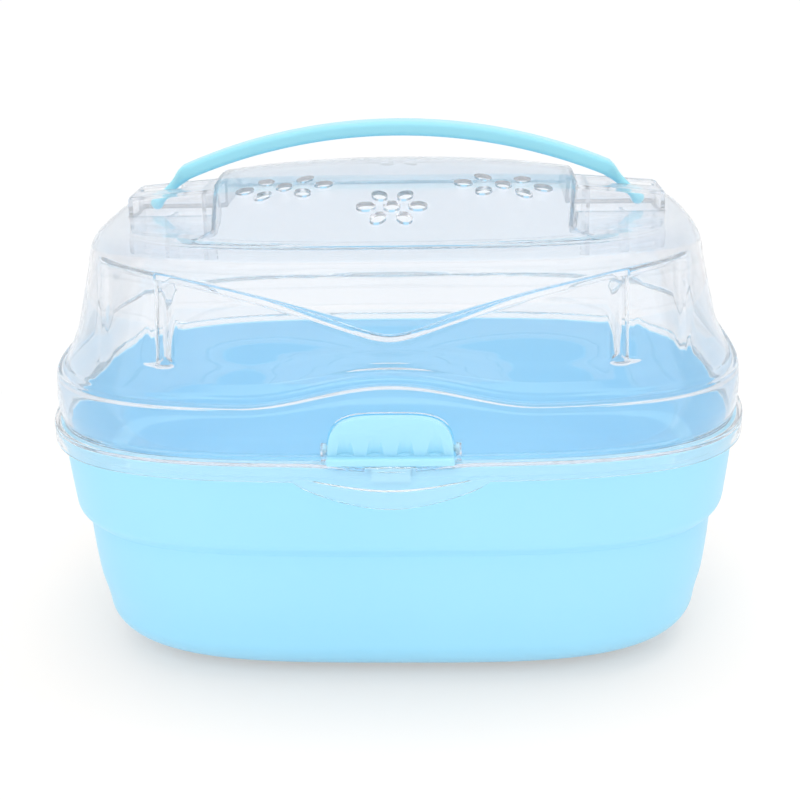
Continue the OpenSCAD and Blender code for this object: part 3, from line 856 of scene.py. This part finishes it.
hooks = join("lid_hooks", make_hook(HINGE_X) + make_hook(-HINGE_X))
hinge_ears = make_ears()
for piece in (hooks, hinge_ears):
    bevel(piece, 0.25, 2)
    smooth_by_angle(piece, 30)
print("hinge points:", len(hooks.data.vertices), len(hinge_ears.data.vertices))

# %% [markdown]
# ## The handle
# The bow is one soft moulding. Its section is a rounded bar that thins to a round neck with a ball on the
# end. A curve with a bevel object keeps one section all along, so the tube is swept here as a grid whose
# section changes on the way.

# %% Handle
BOW_R, STRAP_T, STRAP_W, STRAP_X, STRAP_SQUARE = 208.0, 5.6, 12.0, 80.0, 4.5
BOW_MID = FLANGE + 101.8 - STRAP_T / 2 - BOW_R  # height of the arc's middle
BALL_X, BALL_R = 92.0, 2.5
BALL_Z = FLANGE + float(tower_height(BALL_X)) - WALL - 1 - BALL_R


def handle_stations():
    """Rows of [x, z, half thickness, half width, squareness] from the left ball to the right ball."""
    end = np.arcsin(STRAP_X / BOW_R)
    right = []
    for a in np.linspace(0, end, 26):
        wide = STRAP_W / 2 * (1 - 0.07 * ease(a, end * 0.55, end))
        right.append((BOW_R * sin(a), BOW_MID + BOW_R * cos(a), STRAP_T / 2, wide, STRAP_SQUARE))
    x0, z0 = right[-1][:2]
    run_x, run_z = BALL_X - x0, BALL_Z - z0
    neck = [(0.08, 2.75, 5.0, 3.6), (0.17, 2.5, 4.0, 2.9), (0.27, 2.1, 2.8, 2.3), (0.38, 1.8, 1.95, 2)]
    neck += [(0.5, 1.7, 1.7, 2), (0.7, 1.7, 1.7, 2), (0.82, 1.72, 1.72, 2)]
    for share, thick, wide, square in neck:
        right.append((x0 + run_x * share, z0 + run_z * share, thick, wide, square))
    length = np.linalg.norm([run_x, run_z])
    for a in [radians(degrees) for degrees in np.linspace(-45, 89, 12)]:
        reach = length + BALL_R * sin(a)
        radius = max(BALL_R * cos(a), 0.05)
        right.append((x0 + run_x * reach / length, z0 + run_z * reach / length, radius, radius, 2))
    left = [(-x, *others) for x, *others in right[:0:-1]]
    return left + right


def make_handle():
    stations = handle_stations()
    middle = np.array([(s[0], s[1]) for s in stations])
    tangent = np.gradient(middle, axis=0)
    tangent /= np.linalg.norm(tangent, axis=1)[:, None]
    rows = []
    for (x, z, thick, wide, square), (tx, tz) in zip(stations, tangent):
        ring = []
        for a in np.linspace(0, 2 * pi, 40, endpoint=False):
            c, s = cos(a), sin(a)
            reach = superellipse(c, s, square)
            up, across = thick * c * reach, wide * s * reach
            ring.append((x - tz * up, across, z + tx * up))
        rows.append(ring)
    return grid_mesh("handle_bow", np.array(rows), capped=True)


handle = make_handle()
fix_normals(handle)
smooth_by_angle(handle, 60)
print("handle points:", len(handle.data.vertices))

# %% [markdown]
# ## The latch
# The latch is a rocker: a fluted pad that the thumb presses, a grip along its foot, and a claw that goes down
# behind the lid's bulge. It turns on two small pins. The flutes could be modelled into the pad's mesh, but
# four tilted bars cut them, and a Bevel modifier gives the soft edges of the moulding.

# %% Latch
PAD_FRONT, PAD_T, PAD_W, PAD_H = 93.4, 3.0, 42.4, 16.15
PIVOT_X, PIVOT_Y, PIVOT_Z, PIVOT_R = 21.9, -87.3, 98.4, 1.2
FLUTE_R, FLUTE_APART, FLUTE_TILT = 3.6, 10.1, radians(13)
BOSS_X, BOSS_R, BOSS_T = 19.6, 2.4, 3.2


def flute(x):
    """A tilted bar that cuts one flute into the pad."""
    bar = prism("flute", ring_of(0, 0, FLUTE_R, 36), "z", 0, 16)
    place = Matrix.Translation(Vector((x, -PAD_FRONT - 1.9, FLANGE + 2.7)) * MM)
    bar.data.transform(place @ Matrix.Rotation(FLUTE_TILT, 4, "X"))
    return bar


def make_latch():
    pad = prism("latch_pad", arch(PAD_W, PAD_H, FLANGE + 0.3), "y", -PAD_FRONT, -PAD_FRONT + PAD_T)
    fix_normals(pad)
    cut(pad, [flute(i * FLUTE_APART) for i in (-1.5, -0.5, 0.5, 1.5)])
    bevel(pad, 0.55, 4, 30)
    grip = block("latch_grip", (-21.6, -96.4, FLANGE + 0.15), (21.6, -91.9, FLANGE + 2.85))
    fix_normals(grip)
    bevel(grip, 0.8, 4, 30)
    claw = block("latch_claw", (-6.5, -93.05, FLANGE - 6.2), (6.5, -91.25, FLANGE + 1.4))
    parts = [pad, grip, claw]
    for side in (-1, 1):
        x = side * BOSS_X
        low, high = (x - BOSS_T / 2, -92.4, PIVOT_Z - BOSS_R), (x + BOSS_T / 2, PIVOT_Y, PIVOT_Z + BOSS_R)
        parts.append(tube_x("boss", x, PIVOT_Y, PIVOT_Z, BOSS_R, BOSS_T))
        parts.append(block("arm", low, high))
        parts.append(tube_x("pivot", side * PIVOT_X, PIVOT_Y, PIVOT_Z, PIVOT_R, 2.6))
    return join("latch_rocker", parts)


latch = make_latch()
smooth_by_angle(latch, 30)
print("latch points:", len(latch.data.vertices))

# %% [markdown]
# ## Lugs for the latch's pins
# Two small lugs inside the lid's lower tier carry the pins. They belong to the clear moulding, but the lid's
# grid has no place for them, so they are a piece of their own that meets it.

# %% Lugs
LUG_X, LUG_R, LUG_T = 23.0, 2.0, 1.8


def make_lugs():
    parts = []
    for side in (-1, 1):
        x = side * LUG_X
        low, high = (x - 0.8, PIVOT_Y - 1.8, FLANGE - 1.5), (x + 0.8, PIVOT_Y + 1.8, PIVOT_Z)
        parts.append(tube_x("lug", x, PIVOT_Y, PIVOT_Z, LUG_R, LUG_T))
        parts.append(block("lug_foot", low, high))
    return join("lid_lugs", parts)


lid_lugs = make_lugs()
smooth_by_angle(lid_lugs, 30)
print("lug points:", len(lid_lugs.data.vertices))

# %% [markdown]
# ## Socket walls
# Under each tower four thin walls run down, with a rib across below the ball. They keep the handle's end from
# twisting in its keyhole. They are one moulding with the lid, and show as upright lines through the clear
# front. Plain blocks do, because only their outlines are seen.

# %% Sockets
SOCKET_FOOT, SOCKET_TOP = FLANGE + 55.8, FLANGE + 67.2
SOCKET_IN, SOCKET_OUT = 71.4, 100.9
CROSS_WALLS = (  # from x, to x, half depth and top
    (SOCKET_IN, 72.8, 11.4, FLANGE + 76.6),
    (99.5, SOCKET_OUT, 11.4, SOCKET_TOP),
    (86.2, 87.6, 10.4, FLANGE + 65.4),
)


def make_sockets():
    parts = []
    for side in (1, -1):
        for near, far, half, top in CROSS_WALLS:
            xs = sorted((side * near, side * far))
            parts.append(block("socket_wall", (xs[0], -half, SOCKET_FOOT), (xs[1], half, top)))
        for y in (-11.9, 10.5):
            xs = sorted((side * SOCKET_IN, side * SOCKET_OUT))
            parts.append(block("socket_cheek", (xs[0], y, SOCKET_FOOT), (xs[1], y + 1.4, SOCKET_TOP)))
    return join("lid_sockets", parts)


lid_sockets = make_sockets()
print("socket points:", len(lid_sockets.data.vertices))

# %% [markdown]
# ## Tools for materials
# Both plastics, the floor and the world are node trees. These helpers add the parts that they share: noise
# that is fixed to the object, a colour ramp, and a mix of two shaders.

# %% Node helpers
def shader_nodes(owner):
    """Gives a material or the world an empty node tree."""
    owner.use_nodes = True
    owner.node_tree.nodes.clear()
    return owner.node_tree


def noise(tree, scale, detail):
    where = tree.nodes.new("ShaderNodeTexCoord")
    cloud = tree.nodes.new("ShaderNodeTexNoise")
    cloud.inputs["Scale"].default_value = scale
    cloud.inputs["Detail"].default_value = detail
    tree.links.new(where.outputs["Object"], cloud.inputs["Vector"])
    return cloud.outputs["Fac"]


def ramp(tree, share, first, last, *middle):
    """A colour ramp. Each stop is a position and a colour."""
    node = tree.nodes.new("ShaderNodeValToRGB")
    stops = node.color_ramp.elements
    for stop, (position, colour) in zip(stops, (first, last)):
        stop.position = position
        stop.color = (*colour, 1)
    for position, colour in middle:
        stops.new(position).color = (*colour, 1)
    tree.links.new(share, node.inputs["Fac"])
    return node.outputs["Color"]


def calculated(tree, operation, first, second):
    """A Math node of two sockets or numbers."""
    node = tree.nodes.new("ShaderNodeMath")
    node.operation = operation
    for value, socket in zip((first, second), node.inputs):
        if isinstance(value, int):
            socket.default_value = value
        else:
            tree.links.new(value, socket)
    return node.outputs[0]


def mixed(tree, share, first, second):
    """Mixes two shaders. The share is a number or a socket."""
    mix = tree.nodes.new("ShaderNodeMixShader")
    if isinstance(share, float):
        mix.inputs["Fac"].default_value = share
    else:
        tree.links.new(share, mix.inputs["Fac"])
    tree.links.new(first, mix.inputs[1])
    tree.links.new(second, mix.inputs[2])
    return mix.outputs[0]


print("materials so far:", len(bpy.data.materials))

# %% [markdown]
# ## Blue plastic
# The tub, latch and handle are polypropylene: a soft satin gloss over colour that goes a little way in. A
# Principled shader with some subsurface gives that. A fine noise in the bump is the spark-eroded mould's
# texture, and a broad one shifts the colour as thin and thick walls do.

# %% Blue plastics
TINT_SCALE, GRAIN_SCALE = 9, 1400
GRAIN_STRENGTH, GRAIN_DEPTH = 0.06, 0.0002
GLOW_REACH = 0.004  # metres that light wanders in the plastic


def blue_plastic(name, light, deep, roughness, glow):
    material = bpy.data.materials.new(name)
    tree = shader_nodes(material)
    link = tree.links.new
    out = tree.nodes.new("ShaderNodeOutputMaterial")
    plastic = tree.nodes.new("ShaderNodeBsdfPrincipled")
    link(plastic.outputs[0], out.inputs["Surface"])
    tint = ramp(tree, noise(tree, TINT_SCALE, 2), (0.35, deep), (0.65, light))
    link(tint, plastic.inputs["Base Color"])
    grain = tree.nodes.new("ShaderNodeBump")
    grain.inputs["Strength"].default_value = GRAIN_STRENGTH
    grain.inputs["Distance"].default_value = GRAIN_DEPTH
    link(noise(tree, GRAIN_SCALE, 3), grain.inputs["Height"])
    link(grain.outputs["Normal"], plastic.inputs["Normal"])
    plastic.inputs["Roughness"].default_value = roughness
    plastic.inputs["IOR"].default_value = 1.49
    plastic.inputs["Subsurface Weight"].default_value = glow
    plastic.inputs["Subsurface Radius"].default_value = (0.6, 0.9, 1.0)
    plastic.inputs["Subsurface Scale"].default_value = GLOW_REACH
    print("made", name)
    return material


tub_blue = blue_plastic("tub_blue", (0.355, 0.725, 0.925), (0.338, 0.705, 0.915), 0.36, 0.12)
latch_blue = blue_plastic("latch_blue", (0.39, 0.74, 0.92), (0.375, 0.725, 0.91), 0.32, 0.12)
handle_blue = blue_plastic("handle_blue", (0.30, 0.66, 0.77), (0.285, 0.645, 0.755), 0.3, 0.15)

# %% [markdown]
# ## Clear plastic
# Polystyrene bends light, and that is what draws the ledges, the vee and the rims of a clear moulding. A
# Glass shader on both faces of the wall does it. Lamps and soft light pass straight through a Transparent
# shader instead, as light through real thin walls nearly does, so the tub inside stays bright and free of
# noise. A small share of straight light and a little haze soften the lines, as the wear of a real lid does.

# %% Clear plastic
FLOW_SCALE = 14
THIN, THICK = (0.978, 0.982, 0.988), (0.971, 0.975, 0.982)
STRAIGHT_SHARE, HAZE_SHARE = 0.12, 0.03


def clear_plastic(name):
    material = bpy.data.materials.new(name)
    tree = shader_nodes(material)
    link = tree.links.new
    out = tree.nodes.new("ShaderNodeOutputMaterial")
    tint = ramp(tree, noise(tree, FLOW_SCALE, 2), (0.3, THICK), (0.7, THIN))
    glass = tree.nodes.new("ShaderNodeBsdfGlass")
    glass.inputs["IOR"].default_value = 1.5
    glass.inputs["Roughness"].default_value = 0.015
    link(tint, glass.inputs["Color"])
    straight = tree.nodes.new("ShaderNodeBsdfTransparent")
    link(tint, straight.inputs["Color"])
    lit = tree.nodes.new("ShaderNodeBsdfTransparent")
    lit.inputs["Color"].default_value = (0.985, 0.988, 0.99, 1)
    haze = tree.nodes.new("ShaderNodeBsdfDiffuse")
    haze.inputs["Color"].default_value = (0.93, 0.92, 0.94, 1)
    path = tree.nodes.new("ShaderNodeLightPath").outputs
    soft = calculated(tree, "MAXIMUM", path["Is Shadow Ray"], path["Is Diffuse Ray"])
    seen = mixed(tree, STRAIGHT_SHARE, glass.outputs[0], straight.outputs[0])
    seen = mixed(tree, HAZE_SHARE, seen, haze.outputs[0])
    link(mixed(tree, soft, seen, lit.outputs[0]), out.inputs["Surface"])
    print("made", name)
    return material


lid_clear = clear_plastic("lid_clear")

# %% [markdown]
# ## Finishes and bodies
# Each piece gets its plastic, the body that it moves with and the CAD node that it stands for. The finer
# pieces could be parented by hand, but attach hangs each one on its body's empty, so it follows that body in
# every pose.

# %% Assign
def finish_piece(piece, material, body, node):
    piece.data.materials.clear()
    piece.data.materials.append(material)
    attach(piece, body)
    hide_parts(node)
    print(piece.name, "rides on", body)


for piece in (tub, hinge_ears):
    finish_piece(piece, tub_blue, "tub", "base_tub")
for piece in (lid, hooks, lid_lugs, lid_sockets):
    finish_piece(piece, lid_clear, "lid", "clear_lid")
finish_piece(handle, handle_blue, "handle", "carry_handle")
finish_piece(latch, latch_blue, "latch", "front_latch")

# %% [markdown]
# ## The floor
# The carrier stands on a white sweep. Near the carrier it is mostly matt paper, which takes the shadow. Away
# from it the sweep glows white for the camera and through the plastic, so the picture's ground stays clean.
# Near the carrier a share of that glow stays and turns warm. This is painted light: it lifts the shadow there
# and paints it warm, which cancels the blue light that the tub throws on the paper.
# A brighter lamp would whiten the ground too, but it would also bleach the carrier.

# %% Floor
FLOOR_HALF = 12000
GLOW_FROM, GLOW_TO = 0.09, 0.36  # metres from the middle between which the glow takes over
NEAR_GLOW = 0.4


def make_floor():
    corners = [(-FLOOR_HALF, -FLOOR_HALF, 0), (FLOOR_HALF, -FLOOR_HALF, 0)]
    corners += [(FLOOR_HALF, FLOOR_HALF, 0), (-FLOOR_HALF, FLOOR_HALF, 0)]
    floor = object_from("floor", corners, [(0, 1, 2, 3)])
    material = bpy.data.materials.new("floor_white")
    tree = shader_nodes(material)
    link = tree.links.new
    out = tree.nodes.new("ShaderNodeOutputMaterial")
    paper = tree.nodes.new("ShaderNodeBsdfDiffuse")
    paper.inputs["Color"].default_value = (0.96, 0.95, 0.945, 1)
    where = tree.nodes.new("ShaderNodeTexCoord")
    distance = tree.nodes.new("ShaderNodeVectorMath")
    distance.operation = "LENGTH"
    link(where.outputs["Object"], distance.inputs[0])
    far = tree.nodes.new("ShaderNodeMapRange")
    far.interpolation_type = "SMOOTHSTEP"
    far.inputs["From Min"].default_value = GLOW_FROM
    far.inputs["From Max"].default_value = GLOW_TO
    far.inputs["To Min"].default_value = NEAR_GLOW
    far.inputs["To Max"].default_value = 1.0
    link(distance.outputs["Value"], far.inputs["Value"])
    far_share = far.outputs["Result"]
    glow = tree.nodes.new("ShaderNodeEmission")
    glow.inputs["Strength"].default_value = 1.02
    # Painted light: near the carrier the glow is warm, which lifts the shadow and cancels the tub's blue
    # bounce.
    link(ramp(tree, far_share, (NEAR_GLOW, (1, 0.9, 0.82)), (1, (1, 1, 1))), glow.inputs["Color"])
    path = tree.nodes.new("ShaderNodeLightPath").outputs
    seen = calculated(tree, "SUBTRACT", 1, path["Is Diffuse Ray"])
    share = calculated(tree, "MULTIPLY", far_share, seen)
    link(mixed(tree, share, paper.outputs[0], glow.outputs[0]), out.inputs["Surface"])
    floor.data.materials.append(material)
    print("floor, half width in metres:", FLOOR_HALF * MM)


make_floor()

# %% [markdown]
# ## The lamps
# A soft lamp above the camera gives the form and a light shadow, and a wide one overhead fills. They are kept
# out of the gloss and out of what the plastic bends, because their outlines would lie on the clear front.

# %% Lamps
def area_lamp(name, place, target, size, watts):
    data = bpy.data.lights.new(name, "AREA")
    data.shape = "RECTANGLE"
    data.size, data.size_y = size
    data.energy = watts
    lamp = bpy.data.objects.new(name, data)
    lamp.location = place
    lamp.rotation_euler = (Vector(target) - Vector(place)).to_track_quat("-Z", "Y").to_euler()
    lamp.visible_glossy = False
    lamp.visible_transmission = False
    scene.collection.objects.link(lamp)
    print("lamp", name, "of", watts, "watts")


area_lamp("key", (-0.1, -1.0, 0.95), (0, 0, 0.08), (0.9, 0.6), 2.9)
area_lamp("top", (0.1, 0.1, 1.2), (0, 0, 0.05), (1.1, 1.1), 6)

# %% [markdown]
# ## The world
# The white world does the rest, as a light tent does. The camera sees it plain white. Gloss and bent light
# see a tent that darkens a little half way up, with a faint lilac tone, which gives the clear edges a line.
# An image of a real studio would do the same, but a ramp over the height needs no file.

# %% World
FILL_STRENGTH = 0.86
WHITE, LILAC = (1, 1, 1), (0.86, 0.86, 0.92)


def background(tree, strength):
    node = tree.nodes.new("ShaderNodeBackground")
    node.inputs["Color"].default_value = (*WHITE, 1)
    node.inputs["Strength"].default_value = strength
    return node


def make_world():
    world = bpy.data.worlds.new("studio")
    scene.world = world
    tree = shader_nodes(world)
    link = tree.links.new
    out = tree.nodes.new("ShaderNodeOutputWorld")
    fill, seen, tent = (background(tree, strength) for strength in (FILL_STRENGTH, 1.0, 1.0))
    where = tree.nodes.new("ShaderNodeTexCoord")
    split = tree.nodes.new("ShaderNodeSeparateXYZ")
    link(where.outputs["Generated"], split.inputs[0])
    height = ramp(tree, split.outputs["Z"], (0.3, WHITE), (0.95, WHITE), (0.55, LILAC), (0.75, LILAC))
    link(height, tent.inputs["Color"])
    path = tree.nodes.new("ShaderNodeLightPath").outputs
    bent = calculated(tree, "MAXIMUM", path["Is Glossy Ray"], path["Is Transmission Ray"])
    lit = mixed(tree, bent, fill.outputs[0], tent.outputs[0])
    link(mixed(tree, path["Is Camera Ray"], lit, seen.outputs[0]), out.inputs["Surface"])
    print("world nodes:", len(tree.nodes))


make_world()
scene.view_settings.view_transform = "Standard"
